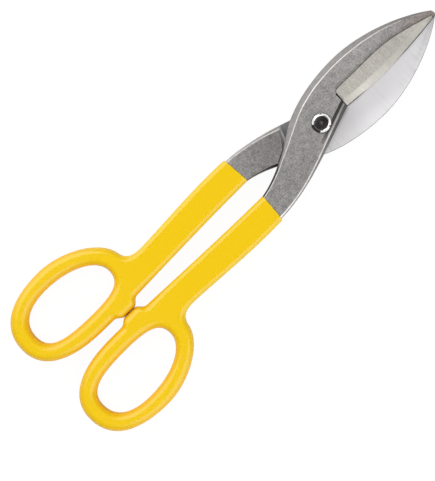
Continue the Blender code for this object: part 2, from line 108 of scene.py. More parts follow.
# Chamfers along the tool, as (x, size) pairs in millimetres.
ARM_TOP = 5.0 * MM
SPINE_CHAMFER = (
    (-53, 1.2), (-39, 1.45), (-29, 1.8), (-19, 3.35), (-13, 4.0), (0, 3.4), (12, 3.3),
    (26, 3.55), (40, 3.55), (54, 2.87), (62, 2.3), (72, 1.8), (90, 0.4),
)
SPINE_DROP = ((-53, 0.6), (-29, 0.7), (-22, 1.4), (-13, 2.6), (0, 2.5), (45, 2.2), (72, 1.2), (90, 0.3))
HEEL_CHAMFER = ((-53, 1.0), (-30, 1.1), (-14, 1.8), (-4, 2.2), (6, 2.3), (18, 2.6), (90, 0.4))
BACK_OUTER_CHAMFER = ((-53, 1.1), (-42, 1.4), (-30, 1.6), (-20, 2.0), (90, 2.0))
BACK_INNER_CHAMFER = ((-53, 0.4), (-40, 1.0), (-33, 1.6), (90, 1.6))
CHAMFER_EASE = np.linspace(-3.0, 3.0, 7)

# The lap's rim and shoulder.
RIM_BREAK = 0.22 * MM
SHOULDER_REACH = 25.6 * MM
SHOULDER_CLEARANCE = 0.25 * MM
SHOULDER_WEAR = 0.3 * MM
SHOULDER_CROTCH_ANGLE = math.radians(28)
SHOULDER_SIDE_ANGLE = math.radians(54)

# The handle, with its finger loop and stop lug.
MOUTH_REACH = 53.4 * MM
MOUTH_IN = 6.05 * MM
MOUTH_WIDTH = 17.7 * MM
MOUTH_OUT = MOUTH_IN + MOUTH_WIDTH
MOUTH_TILT = math.radians(4.6)
MOUTH_FRONT_REACH = MOUTH_REACH - MOUTH_WIDTH / 2 * math.tan(MOUTH_TILT)
ARM_ROOT_IN = 3.9 * MM
ARM_ROOT_OUT = 21.65 * MM
LOOP_FRONT_REACH = 144.8 * MM
LOOP_LENGTH = 56.2 * MM
LOOP_WIDTH = 28.65 * MM
RIM_BACK = 10.7 * MM
RIM_OUT = 10.15 * MM
RIM_IN = 10.85 * MM
RIM_FRONT = 10.5 * MM
LOOP_CLEARANCE = 3.0 * MM
LOOP_IN = LOOP_CLEARANCE + RIM_IN
LOOP_OUT = LOOP_IN + LOOP_WIDTH
LOOP_BACK_REACH = LOOP_FRONT_REACH + LOOP_LENGTH
FILLET_LENGTH = 14.1 * MM
LUG_SETBACK = 8.2 * MM
LUG_FACE = 6.0 * MM
LUG_FLANK = 7.0 * MM
STOP_GAP = 0.06 * MM
HOLE_FRONT_TURN = 0.39
HOLE_OUT_TURN = 0.595
HOLE_BACK_TURN = 0.47
HOLE_IN_TURN = 0.43
RIM_OUT_TURN = 0.52
RIM_IN_TURN = 0.46
THROAT_TURN = 0.535
MOUTH_OUT_SLOPE = 0.05
ARM_ROOT_SLOPE = -0.045
ARM_IN_SLOPE = -0.03
THROAT_SLOPE = 5.3

# The steel core inside the grip.
VINYL = 1.0 * MM
CORE_INSET = 1.4 * MM
CORE_CHAMFER = 2.4 * MM
CORE_HALF = 4.9 * MM
CORE_SETBACK = 0.05 * MM
ARM_TUCK = 0.2 * MM
ARM_INSET = 0.15 * MM

# The holes at the pivot.
SHANK_RADIUS = 3.9 * MM
BORE_CLEARANCE = 0.15 * MM
SEAT_DEPTH = 1.0 * MM
SEAT_GAP = 0.2 * MM
SEAT_FLOOR = PIVOT_THICKNESS - SEAT_DEPTH
NUT_RADIUS = 5.7 * MM
HEAD_RADIUS = 7.5 * MM
NECK_WIDTH = 8.8 * MM

# How full curves are, and how finely forms are drawn.
STRAIGHT, GENTLE, EASY, SLACK, ROUND, FULL, BOLD = 0.0, 0.33, 0.42, 0.50, 0.55, 0.65, 0.75
TRACE_STEPS = 24
STATION_STEP = 1.6 * MM
NOSE_SHARES = (0.04, 0.1, 0.2, 0.34, 0.5, 0.7, 0.86)
TURN_STEPS = 96
SOFT_FACETS, CRISP_FACETS = 3, 2
OVERSHOOT = 12.0 * MM
FAR = 150.0 * MM
MERGE = 0.002 * MM
SMOOTH_BELOW = math.radians(28)
LEVEL, UPRIGHT = 0.99, 0.1
NEARLY_LEVEL, NEARLY_UPRIGHT = 0.9, 0.3

# Tones of the steel.
# The band beside the cutting strip is painted shade, darkest at the strip's back edge.
STRIP_SHADE_WIDTH = 2.8 * MM
STRIP_SHADE_DEPTH = 0.7
STRIP_SHADE_DARK = (0.19, 0.18, 0.172, 1.0)
STRIP_SHADE_KNOTS = 8
NOSE_BROWN = (0.36, 0.30, 0.28, 1.0)
BROWN_FROM, BROWN_TO = 60.0 * MM, 88.0 * MM
BROWN_DEPTH = 0.7
FORGED_TINT = (1.0, 0.965, 0.94)
GROUND_TINT = (1.0, 0.985, 1.0)
SHEAR_FACE_LEAN = 0.4
SHEAR_FACE_GREYS = (
    (-28, 0.42), (-25.2, 0.42), (-24.6, 0.66), (-24, 0.66), (-23.4, 0.19), (-12.8, 0.19), (-9, 0.57),
    (19, 0.66), (30, 0.745), (84, 0.815),
)

# The scale finish is near black: painted shade where it shows in gaps and on the shear face's rim.
BLASTED, GROUND, SCALE_AND_SHADE, RUNOUT_SHADE = range(4)
SPINE_FLANK, HEEL_FLANK, BACK_FLANK, CROTCH_FLANK = range(4, 8)
SPINE_RIDGE, HEEL_RIDGE, BACK_RIDGE, BACK_RIM = range(8, 12)

# Flanks by the section's corner that they start at, and ridges by corner, wear and front end in
# millimetres, and finish.
FLANKS = {0: BACK_FLANK, 2: CROTCH_FLANK, 4: SPINE_FLANK, 6: HEEL_FLANK}
RIDGES = (
    (0, 0.4, -10, BACK_RIM),
    (1, 0.5, -10, BACK_RIDGE),
    (5, 0.38, 74, SPINE_RIDGE),
    (6, 0.5, 20, HEEL_RIDGE),
)


def flat(x, y):
    """A point or direction in plan."""
    return Vector((x, y, 0.0))


def heading(degrees):
    """A direction in plan, by its angle from +X."""
    return flat(math.cos(math.radians(degrees)), math.sin(math.radians(degrees)))


def at_handle(reach, out):
    """A plan point or direction of a handle: reach runs back from the pivot, out from the centreline."""
    return flat(-reach, -out)


BACKWARD, FORWARD = at_handle(1, 0), at_handle(-1, 0)
OUTWARD, INWARD = at_handle(0, 1), at_handle(0, -1)


def trace(knots, inset=0.0, closed=False):
    """Points along a curve through (point, direction, fullness) knots, each moved inset to its right."""
    moved = []
    for point, way, fullness in knots:
        way = way.normalized()
        moved.append((point + flat(way.y, -way.x) * inset, way, fullness))
    points = []
    following = moved[1:] + moved[:1] if closed else moved[1:]
    for (start, leaving, fullness), (end, arriving, _) in zip(moved, following):
        if fullness == STRAIGHT:
            points.append(start)
            continue
        chord = end - start
        first = start + leaving * (fullness * abs(chord.dot(leaving)))
        second = end - arriving * (fullness * abs(chord.dot(arriving)))
        points += interpolate_bezier(start, first, second, end, TRACE_STEPS + 1)[:-1]
    return points if closed else points + [moved[-1][0]]


def rail(knots):
    """y as a function of x along an outline through (x, y, heading, fullness) knots."""
    outline = trace([(flat(x, y), heading(degrees), fullness) for x, y, degrees, fullness in knots])
    ordered = sorted(outline, key=lambda p: p.x)
    xs = [p.x for p in ordered]
    ys = [p.y for p in ordered]
    return lambda x: float(np.interp(x, xs, ys))


spine_at = rail([
    (TIP_X, TIP_Y, 90, ROUND),
    (TIP_X - NOSE_LENGTH, NOSE_SPINE_Y, NOSE_SPINE_HEADING, GENTLE),
    (SPINE_CREST_X, SPINE_CREST_Y, 180, GENTLE),
    (SPINE_WAIST_X, SPINE_WAIST_Y, WAIST_HEADING, GENTLE),
    (-MOUTH_FRONT_REACH, -MOUTH_IN - ARM_INSET, ARM_IN_HEADING, STRAIGHT),
    (-MOUTH_REACH - OVERSHOOT, -MOUTH_IN - ARM_INSET, 180, STRAIGHT),
])
edge_at = rail([
    (TIP_X, TIP_Y, 270, ROUND),
    (TIP_X - NOSE_LENGTH, NOSE_EDGE_Y, NOSE_EDGE_HEADING, GENTLE),
    (EDGE_BELLY_X, EDGE_BELLY_Y, 180, GENTLE),
    (HEEL_X, HEEL_Y, HEEL_EDGE_HEADING, GENTLE),
])
heel_at = rail([
    (HEEL_X, HEEL_Y, HEEL_ARM_HEADING, GENTLE),
    (-MOUTH_REACH, VINYL - MOUTH_OUT, ARM_OUT_HEADING, STRAIGHT),
    (-MOUTH_REACH - OVERSHOOT, VINYL - MOUTH_OUT, 180, STRAIGHT),
])
strip_end_x = TIP_X - STRIP_END_SETBACK
strip_back_y = HEEL_Y + STRIP_WIDTH
strip_back_at = rail([
    (HEEL_X, strip_back_y - STRIP_CORNER, 90, ROUND),
    (HEEL_X + STRIP_CORNER, strip_back_y, 0, GENTLE),
    (STRIP_TURN_X, strip_back_y - STRIP_FALL, 0, GENTLE),
    (strip_end_x, edge_at(strip_end_x) + STRIP_END_WIDTH, STRIP_END_HEADING, GENTLE),
])


def handle_outline(inset):
    """The outside of a handle, drawn in by inset: arm, fillet, finger loop and stop lug."""
    ahead = MOUTH_REACH - OVERSHOOT
    throat = LOOP_FRONT_REACH - RIM_FRONT
    rim_crest = LOOP_FRONT_REACH + RIM_OUT_TURN * LOOP_LENGTH
    rim_low = LOOP_FRONT_REACH + RIM_IN_TURN * LOOP_LENGTH
    rim_end = LOOP_BACK_REACH + RIM_BACK
    lug_front = LOOP_FRONT_REACH + LUG_SETBACK - LUG_FACE / 2
    lug_back = lug_front + LUG_FACE
    return trace([
        (at_handle(ahead, MOUTH_OUT), BACKWARD, STRAIGHT),
        (at_handle(MOUTH_REACH, MOUTH_OUT), at_handle(1, MOUTH_OUT_SLOPE), GENTLE),
        (at_handle(throat - FILLET_LENGTH, ARM_ROOT_OUT), at_handle(1, ARM_ROOT_SLOPE), FULL),
        (at_handle(throat, LOOP_IN + THROAT_TURN * LOOP_WIDTH), at_handle(1, THROAT_SLOPE), EASY),
        (at_handle(rim_crest, LOOP_OUT + RIM_OUT), BACKWARD, FULL),
        (at_handle(rim_end, LOOP_IN + HOLE_BACK_TURN * LOOP_WIDTH), INWARD, FULL),
        (at_handle(rim_low, LOOP_CLEARANCE), FORWARD, STRAIGHT),
        (at_handle(lug_back + LUG_FLANK, LOOP_CLEARANCE), FORWARD, SLACK),
        (at_handle(lug_back, STOP_GAP / 2), FORWARD, STRAIGHT),
        (at_handle(lug_front, STOP_GAP / 2), FORWARD, SLACK),
        (at_handle(lug_front - LUG_FLANK, ARM_ROOT_IN), at_handle(-1, -ARM_IN_SLOPE), GENTLE),
        (at_handle(MOUTH_REACH, MOUTH_IN), FORWARD, STRAIGHT),
        (at_handle(ahead, MOUTH_IN), FORWARD, STRAIGHT),
    ], inset)


def finger_hole(inset):
    """The finger hole, widened by inset: an oval whose far end leans away from the centreline."""
    out_turn = LOOP_FRONT_REACH + HOLE_OUT_TURN * LOOP_LENGTH
    in_turn = LOOP_FRONT_REACH + HOLE_IN_TURN * LOOP_LENGTH
    return trace([
        (at_handle(LOOP_FRONT_REACH, LOOP_IN + HOLE_FRONT_TURN * LOOP_WIDTH), OUTWARD, ROUND),
        (at_handle(out_turn, LOOP_OUT), BACKWARD, FULL),
        (at_handle(LOOP_BACK_REACH, LOOP_IN + HOLE_BACK_TURN * LOOP_WIDTH), INWARD, BOLD),
        (at_handle(in_turn, LOOP_IN), FORWARD, BOLD),
    ], -inset, closed=True)


def ring(form, points):
    """Corners and edges of one closed loop."""
    corners = [form.verts.new(point) for point in points]
    return corners, [form.edges.new(pair) for pair in zip(corners, corners[1:] + corners[:1])]


def skinned(form, sections):
    """Loops with a wall of quads between each and the next, corner to like corner."""
    rings = [ring(form, section) for section in sections]
    for (here, _), (there, _) in zip(rings, rings[1:]):
        for quad in zip(here, here[1:] + here[:1], there[1:] + there[:1], there):
            form.faces.new(quad)
    return rings


def drawn_out(sections):
    """A solid drawn through a row of like sections, and its corners by section."""
    form = bmesh.new()
    rings = skinned(form, sections)
    for _, end in (rings[0], rings[-1]):
        bmesh.ops.contextual_create(form, geom=end)
    bmesh.ops.recalc_face_normals(form, faces=form.faces)
    return form, [corners for corners, _ in rings]


def along(form, corners, k):
    """The edges that run the length of a drawn solid through the k-th corner of its sections."""
    return [form.edges.get((here[k], there[k])) for here, there in zip(corners, corners[1:])]


def eased(form, edges, width, facets=CRISP_FACETS):
    """Rounds edges off by a width and gives the new faces."""
    bevel = bmesh.ops.bevel(form, geom=edges, offset=width, offset_type="OFFSET", affect="EDGES",
                            segments=facets, profile=0.5, material=-1, clamp_overlap=True)
    return bevel["faces"]


def merged(form):
    """Merges a form's doubled corners and turns its faces outwards."""
    bmesh.ops.remove_doubles(form, verts=form.verts, dist=MERGE)
    bmesh.ops.recalc_face_normals(form, faces=form.faces)
    return form


def capped(form, rim):
    """Fills a form's open end and turns its faces outwards."""
    bmesh.ops.contextual_create(form, geom=rim)
    bmesh.ops.recalc_face_normals(form, faces=form.faces)
    return form


def block(*size):
    """A box about the origin."""
    form = bmesh.new()
    bmesh.ops.create_cube(form, size=1.0)
    bmesh.ops.scale(form, vec=size, verts=form.verts)
    return form


def finished(form, finish):
    """A form with one finish on all its faces."""
    for face in form.faces:
        face.material_index = finish
    return form


def turned(profile):
    """A solid of revolution about Z from (radius, z) points."""
    form = bmesh.new()
    points = [form.verts.new((radius, 0.0, z)) for radius, z in profile]
    edges = [form.edges.new(pair) for pair in zip(points, points[1:])]
    bmesh.ops.spin(form, geom=points + edges, cent=(0, 0, 0), axis=(0, 0, 1), angle=2 * math.pi,
                   steps=TURN_STEPS, use_merge=True)
    return merged(form)


def raised(points, z):
    """Plan points lifted to a height."""
    return [point + Vector((0, 0, z)) for point in points]


def at_level(outline, level):
    """A handle's outline drawn in and raised, as the level's (inset, height) says."""
    inset, z = level
    return raised(outline(inset), z)


def handle_form(levels, drawn=at_level):
    """A handle drawn level by level from mid thickness up, and mirrored below."""
    form = bmesh.new()
    top = []
    for outline in (handle_outline, finger_hole):
        rings = skinned(form, [drawn(outline, level) for level in levels])
        top += rings[-1][1]
    bmesh.ops.triangle_fill(form, edges=top, use_beauty=True)
    everything = form.verts[:] + form.edges[:] + form.faces[:]
    bmesh.ops.mirror(form, geom=everything, axis="Z", merge_dist=MERGE)
    return merged(form)


def cut_square(form, reach, ahead):
    """Takes off what lies ahead of a cut across the arm, or else behind it, and gives the cut's edges."""
    cut = bmesh.ops.bisect_plane(
        form,
        geom=form.verts[:] + form.edges[:] + form.faces[:],
        plane_co=at_handle(reach, MOUTH_IN + MOUTH_WIDTH / 2),
        plane_no=flat(math.cos(MOUTH_TILT), -math.sin(MOUTH_TILT)),
        clear_outer=ahead,
        clear_inner=not ahead,
    )
    return [item for item in cut["geom_cut"] if isinstance(item, bmesh.types.BMEdge)]


def mesh_of(form, name):
    """A form made a mesh."""
    mesh = bpy.data.meshes.new(name)
    form.to_mesh(mesh)
    form.free()
    return mesh


def placed(name, data):
    """An object in the scene."""
    obj = bpy.data.objects.new(name, data)
    bpy.context.scene.collection.objects.link(obj)
    return obj


def joined(mesh, finishes, steps):
    """A mesh after boolean steps of (operation, tool form), with the tools' finishes on their cuts."""
    made = []
    for name, data in [("blank", mesh)] + [(kind, mesh_of(tool, kind)) for kind, tool in steps]:
        for finish in finishes:
            data.materials.append(finish)
        made.append(placed(name, data))
    blank, *tools = made
    for tool, (kind, _) in zip(tools, steps):
        modifier = blank.modifiers.new(kind, "BOOLEAN")
        modifier.operation = kind
        modifier.object = tool
    graph = bpy.context.evaluated_depsgraph_get()
    result = bpy.data.meshes.new_from_object(blank.evaluated_get(graph))
    for obj in made:
        bpy.data.objects.remove(obj)
    return result


def shaded(mesh, angle=SMOOTH_BELOW):
    """Closes hairline edges and shades smooth, but crisp where faces meet more steeply than the angle."""
    form = bmesh.new()
    form.from_mesh(mesh)
    bmesh.ops.dissolve_degenerate(form, edges=form.edges, dist=MERGE)
    form.to_mesh(mesh)
    form.free()
    mesh.shade_smooth()
    mesh.set_sharp_from_angle(angle=angle)
    return mesh


def half_place(side):
    """From a half's own frame to the tool's: the rear half lies turned over about the tool's length."""
    turn = Matrix.Rotation(math.pi if side == "rear" else 0.0, 4, "X")
    return Matrix.Translation((0.0, 0.0, SHEAR_Z)) @ turn


def piece(name, mesh, body, node):
    """A finished piece that stands for a CAD node and moves with its body."""
    obj = placed(name, mesh)
    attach(obj, body)
    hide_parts(node)
    return obj


def stations(start, end, step=STATION_STEP):
    """Places from start to end, no more than a step apart."""
    count = max(2, math.ceil(abs(end - start) / step))
    return [start + (end - start) * i / count for i in range(count + 1)]


def blade_top(x):
    """Height of the outer face: level along the arm, tapering from the pivot to the tip."""
    if x > 0:
        return PIVOT_THICKNESS + (TIP_THICKNESS - PIVOT_THICKNESS) * x / TIP_X
    return PIVOT_THICKNESS + (ARM_TOP - PIVOT_THICKNESS) * min(1.0, -x / MOUTH_REACH)


def size_at(x, sizes):
    """A size that changes along the tool, from (x, size) pairs in millimetres, eased between them."""
    xs, values = zip(*sizes)
    return float(np.mean(np.interp(x / MM + CHAMFER_EASE, xs, values))) * MM


def forging_section(x):
    """Chamfered cross-section of the blade or arm at x, from the outer side round over the spine."""
    outer = heel_at(x) if x < HEEL_X else edge_at(x)
    spine = spine_at(x)
    top = blade_top(x)
    spine_cut, heel_cut, outer_cut, inner_cut = (
        min(size_at(x, sizes), WIDTH_SHARE * (spine - outer))
        for sizes in (SPINE_CHAMFER, HEEL_CHAMFER, BACK_OUTER_CHAMFER, BACK_INNER_CHAMFER)
    )
    across = [
        (outer, outer_cut - ARM_TOP),
        (outer + outer_cut, -ARM_TOP),
        (spine - inner_cut, -ARM_TOP),
        (spine, inner_cut - ARM_TOP),
        (spine, top - min(size_at(x, SPINE_DROP), HEIGHT_SHARE * top)),
        (spine - spine_cut, top),
        (outer + heel_cut, top),
        (outer, top - min(heel_cut, HEIGHT_SHARE * top)),
    ]
    return [Vector((x, y, z)) for y, z in across]


def forging_blank():
    """Blade and arm in one, full thickness throughout, with rounded ridges that wear bright."""
    xs = [TIP_X - NOSE_LENGTH * share for share in NOSE_SHARES]
    xs += stations(TIP_X - NOSE_LENGTH, HEEL_X)
    xs += stations(HEEL_X, -MOUTH_FRONT_REACH)[1:]
    xs += stations(-MOUTH_FRONT_REACH, -MOUTH_REACH - OVERSHOOT / 2)[1:]
    form, corners = drawn_out([forging_section(x) for x in xs])
    for k, finish in FLANKS.items():
        flank = {corner for section in corners for corner in section[k:k + 2]}
        for face in form.faces:
            if flank.issuperset(face.verts):
                face.material_index = finish
    for k, wear, front, finish in RIDGES:
        bare = [section for section in corners if section[k].co.x < front * MM]
        for face in eased(form, along(form, bare, k), wear * MM, SOFT_FACETS):
            face.material_index = finish
    bmesh.ops.remove_doubles(form, verts=form.verts, dist=MERGE)
    return capped(form, cut_square(form, MOUTH_REACH + ARM_TUCK, ahead=False))


def lap_cutter():
    """What the lap joint takes off below the shear face, ahead of a two-sided shoulder with a worn lip."""
    crotch = flat(-math.cos(SHOULDER_CROTCH_ANGLE), math.sin(SHOULDER_CROTCH_ANGLE))
    side = flat(math.cos(SHOULDER_SIDE_ANGLE), -math.sin(SHOULDER_SIDE_ANGLE))
    corner = flat(-SHOULDER_REACH, -spine_at(-SHOULDER_REACH) - SHOULDER_CLEARANCE)
    off_crotch = flat(-crotch.y, crotch.x)
    off_side = flat(side.y, -side.x)
    off_corner = (off_crotch + off_side) / (1 + off_crotch.dot(off_side))
    lip = SHOULDER_WEAR - ARM_TOP
    sections = []
    for z, flare in ((SHEAR_FACE, 0.0), (lip, 0.0), (lip - OVERSHOOT, OVERSHOOT)):
        plan = [
            corner + off_corner * flare,
            corner + side * FAR + off_side * flare,
            flat(FAR, -FAR),
            flat(FAR, FAR),
            corner + crotch * FAR + off_crotch * flare,
        ]
        sections.append(raised(plan, z))
    form, _ = drawn_out(sections)
    for face in form.faces:
        if face.normal.z > LEVEL:
            face.material_index = GROUND
        elif UPRIGHT < abs(face.normal.z) < LEVEL:
            face.material_index = BACK_RIDGE
    return form


def strip_stations():
    """Stations along the cutting strip, close together round its heel corner."""
    corner = HEEL_X + STRIP_CORNER
    return stations(HEEL_X, corner, STRIP_CORNER / STRIP_CORNER_STEPS)[:-1] + stations(corner, strip_end_x)


def strip_seat(gap, heel_gap, low, high):
    """The rebate for the cutting strip between two heights, wider than the strip by the gaps."""
    xs = strip_stations()
    reach = [xs[0] - heel_gap] + xs[1:-1] + [xs[-1] + gap]
    sections = []
    for x, moved in zip(xs, reach):
        back = strip_back_at(x) + gap
        front = edge_at(x) - OVERSHOOT
        across = ((front, low), (back, low), (back, high), (front, high))
        sections.append([Vector((moved, y, z)) for y, z in across])
    form, _ = drawn_out(sections)
    # Its walls take the near-black scale finish: painted shade in the gap along the strip and at its heel.
    return finished(form, SCALE_AND_SHADE)


def runout_groove():
    """The groove along the heel's ridge, deepest at the strip and rising out of the face behind it."""
    sections = []
    for x in stations(HEEL_X + STRIP_CORNER, HEEL_X - RUNOUT_LENGTH):
        share = min(1.0, 1 - (HEEL_X - x) / RUNOUT_LENGTH)
        floor = blade_top(x) - RUNOUT_DEPTH * share + RUNOUT_RISE
        near = heel_at(min(x, HEEL_X)) + RUNOUT_LAND
        far = near + RUNOUT_WIDTH
        across = ((near, floor), (far, floor), (far, OVERSHOOT), (near, OVERSHOOT))
        sections.append([Vector((x, y, z)) for y, z in across])
    form, _ = drawn_out(sections)
    return finished(form, RUNOUT_SHADE)


def handle_core():
    """The steel inside the grip: arm, loop and lug, chamfered like the bare arm."""
    form = handle_form([
        (CORE_INSET, 0.0),
        (CORE_INSET, CORE_HALF - CORE_CHAMFER),
        (CORE_INSET + CORE_CHAMFER, CORE_HALF),
    ])
    return capped(form, cut_square(form, MOUTH_REACH + CORE_SETBACK, ahead=True))


def pivot_holes(side):
    """Bore and nut seat of the front half, or square hole and head seat of the rear one."""
    bore = SHANK_RADIUS + BORE_CLEARANCE
    if side == "front":
        seat = NUT_RADIUS + SEAT_GAP
        rim = [(0.0, OVERSHOOT), (seat, OVERSHOOT), (seat, SEAT_FLOOR), (bore, SEAT_FLOOR)]
        holes = [turned(rim + [(bore, -OVERSHOOT), (0.0, -OVERSHOOT)])]
    else:
        seat = HEAD_RADIUS + SEAT_GAP
        rim = [(0.0, OVERSHOOT), (seat, OVERSHOOT), (seat, SEAT_FLOOR), (0.0, SEAT_FLOOR)]
        square = NECK_WIDTH + 2 * BORE_CLEARANCE
        holes = [turned(rim), block(square, square, 2 * OVERSHOOT)]
    # The holes' walls are near black: painted shade in the gap round the nut.
    return [finished(hole, SCALE_AND_SHADE) for hole in holes]


def break_rim(mesh):
    """Breaks the sharp rim of the ground shear face and paints it dark, a painted shadow line along the
    rim.
    """
    form = bmesh.new()
    form.from_mesh(mesh)
    rim = []
    for edge in form.edges:
        sides = [(face.material_index, abs(face.normal.z)) for face in edge.link_faces]
        on_ground = any(finish == GROUND and tilt > NEARLY_LEVEL for finish, tilt in sides)
        on_wall = any(finish == BLASTED and tilt < NEARLY_UPRIGHT for finish, tilt in sides)
        if on_ground and on_wall and edge.is_convex:
            rim.append(edge)
    for face in eased(form, rim, RIM_BREAK):
        face.material_index = SCALE_AND_SHADE
    form.to_mesh(mesh)
    form.free()
    return mesh


def add_node(tree, kind, sockets, **settings):
    """A shader node with its sockets set or linked."""
    node = tree.nodes.new("ShaderNode" + kind)
    for name, value in settings.items():
        setattr(node, name, value)
    for name, value in sockets.items():
        if isinstance(value, bpy.types.NodeSocket):
            tree.links.new(value, node.inputs[name])
        else:
            node.inputs[name].default_value = value
    return node


def new_finish(name, metallic):
    """A material, and the coordinates of the piece that wears it."""
    finish = bpy.data.materials.new(name)
    finish.use_nodes = True
    finish.node_tree.nodes["Principled BSDF"].inputs["Metallic"].default_value = metallic
    return finish, add_node(finish.node_tree, "TexCoord", {}).outputs["Object"]


def feed(finish, sockets):
    """Links sockets to a finish's shader, by the names of its inputs."""
    shader = finish.node_tree.nodes["Principled BSDF"]
    for name, socket in sockets.items():
        finish.node_tree.links.new(socket, shader.inputs[name])


def noise(where, scale, detail, rough=0.6):
    """Cloudy noise, by its scale per metre."""
    sockets = {"Vector": where, "Scale": scale, "Detail": detail, "Roughness": rough}
    return add_node(where.id_data, "TexNoise", sockets).outputs["Fac"]


def streaks(where, across, along_grain):
    """Noise drawn out along Y, as a wheel that runs across the blade leaves it."""
    scale = (across, along_grain, along_grain)
    place = add_node(where.id_data, "Mapping", {"Vector": where, "Scale": scale})
    return noise(place.outputs["Vector"], 1.0, 3.0)


def tones(factor, *stops):
    """Colours along a factor, as (position, (r, g, b)) stops."""
    node = add_node(factor.id_data, "ValToRGB", {"Fac": factor})
    elements = node.color_ramp.elements
    while len(elements) < len(stops):
        elements.new(1.0)
    for element, (position, colour) in zip(elements, stops):
        element.position = position
        element.color = (*colour, 1.0)
    return node.outputs["Color"]


def mixed(factor, first, second, blend="MIX"):
    """One colour into another by a factor."""
    sockets = {0: factor, 6: first, 7: second}
    return add_node(first.id_data, "Mix", sockets, data_type="RGBA", blend_type=blend).outputs[2]


def mottled(colour, factor, *stops):
    """A colour made darker or lighter along a factor, as (position, share) stops."""
    shares = tones(factor, *((position, (share,) * 3) for position, share in stops))
    return mixed(1.0, colour, shares, "MULTIPLY")


def remapped(value, start, end, low=0.0, high=1.0, ease="LINEAR"):
    """A value's stretch from start to end, made to run from low to high."""
    sockets = {"Value": value, "From Min": start, "From Max": end, "To Min": low, "To Max": high}
    return add_node(value.id_data, "MapRange", sockets, interpolation_type=ease).outputs["Result"]


def spread(value, low, high):
    """The middle of a noise's range stretched to run from low to high."""
    return remapped(value, 0.3, 0.7, low, high)


def reckoned(operation, *values):
    """One step of arithmetic on a socket and other sockets or numbers."""
    sockets = dict(enumerate(values))
    return add_node(values[0].id_data, "Math", sockets, operation=operation).outputs["Value"]


def sum_of(a, b, share):
    """a plus a share of b."""
    return reckoned("MULTIPLY_ADD", b, share, a)


def dress(finish, colour, roughness, height, depth, strength=1.0):
    """Gives a finish its colour, roughness and relief."""
    relief = {"Height": height, "Distance": depth, "Strength": strength}
    bump = add_node(finish.node_tree, "Bump", relief)
    feed(finish, {"Base Color": colour, "Roughness": roughness, "Normal": bump.outputs["Normal"]})
    return finish


def measured(where, axis):
    """One coordinate of a place."""
    return add_node(where.id_data, "SeparateXYZ", {"Vector": where}).outputs[axis]


def along_tool(where, start, end):
    """0 to 1 between two places along the tool."""
    return remapped(measured(where, "X"), start, end)


def painted_shade_beside_strip(where):
    """Painted shade beside the raised strip: 1 at the strip's back edge, falling to 0 across a band."""
    across = reckoned("ABSOLUTE", measured(where, "Y"))
    along_strip = along_tool(where, HEEL_X, strip_end_x)
    curve = add_node(where.id_data, "FloatCurve", {"Value": along_strip})
    points = curve.mapping.curves[0].points
    for share in np.linspace(0.0, 1.0, STRIP_SHADE_KNOTS):
        x = max(HEEL_X + STRIP_CORNER, HEEL_X + (strip_end_x - HEEL_X) * share)
        knot = (share, max(0.0, strip_back_at(x)) / STRIP_WIDTH)
        if share in (0.0, 1.0):
            points[0 if share == 0.0 else -1].location = knot
        else:
            points.new(*knot)
    curve.mapping.update()
    off = sum_of(across, curve.outputs["Value"], -STRIP_WIDTH)
    near = remapped(off, 0.0, STRIP_SHADE_WIDTH, 1.0, 0.0, "SMOOTHSTEP")
    ahead = along_tool(where, HEEL_X, HEEL_X + STRIP_CORNER)
    return reckoned("MULTIPLY", near, ahead)


def greys_along(position, stops, tint=FORGED_TINT):
    """Tinted greys at places in millimetres along a position, eased from each to the next."""
    first, last = stops[0][0], stops[-1][0]
    share = remapped(position, first * MM, last * MM)
    places = [((x - first) / (last - first), tuple(grey * part for part in tint)) for x, grey in stops]
    return tones(share, *places)


def grained(where, colour, low, high):
    """A colour broken up by fine pits over a broader mottle, and the pits themselves."""
    mottle = noise(where, 300.0, 3.0)
    grain = noise(where, 1300.0, 2.0, 0.7)
    tone = sum_of(reckoned("MULTIPLY", grain, 0.72), mottle, 0.28)
    return mottled(colour, tone, (0.34, low), (0.64, high)), grain


def blasted_steel(side, *stops):
    """Matt forging, mottled by the blast, with painted shade beside the raised cutting strip, and browned
    at the nose.
    """
    finish, where = new_finish(f"{side}_blasted_steel", 1.0)
    plain = greys_along(measured(where, "X"), stops)
    # Painted shade darkens the face beside the raised strip.
    strip_shade = reckoned("MULTIPLY", painted_shade_beside_strip(where), STRIP_SHADE_DEPTH)
    plain = mixed(strip_shade, plain, STRIP_SHADE_DARK)
    browned = along_tool(where, BROWN_FROM, BROWN_TO)
    plain = mixed(reckoned("MULTIPLY", browned, BROWN_DEPTH), plain, NOSE_BROWN)
    colour, grain = grained(where, plain, 0.58, 1.45)
    return dress(finish, colour, spread(grain, 0.50, 0.66), grain, 0.05 * MM, 0.5)


def shaded_flank_steel(name, *stops):
    """Chamfers of the forging, each with its own grey along the tool: painted shade for how light falls on
    the way each faces.
    """
    finish, where = new_finish(name, 1.0)
    colour, grain = grained(where, greys_along(measured(where, "X"), stops), 0.75, 1.25)
    return dress(finish, colour, spread(grain, 0.45, 0.6), grain, 0.04 * MM, 0.5)


def worn_steel(name, *stops):
    """Ridges that handling has polished."""
    finish, where = new_finish(name, 1.0)
    rub = noise(where, 350.0, 2.0)
    colour = mottled(greys_along(measured(where, "X"), stops), rub, (0.35, 0.9), (0.6, 1.08))
    return dress(finish, colour, spread(rub, 0.46, 0.40), rub, 0.01 * MM, 0.2)


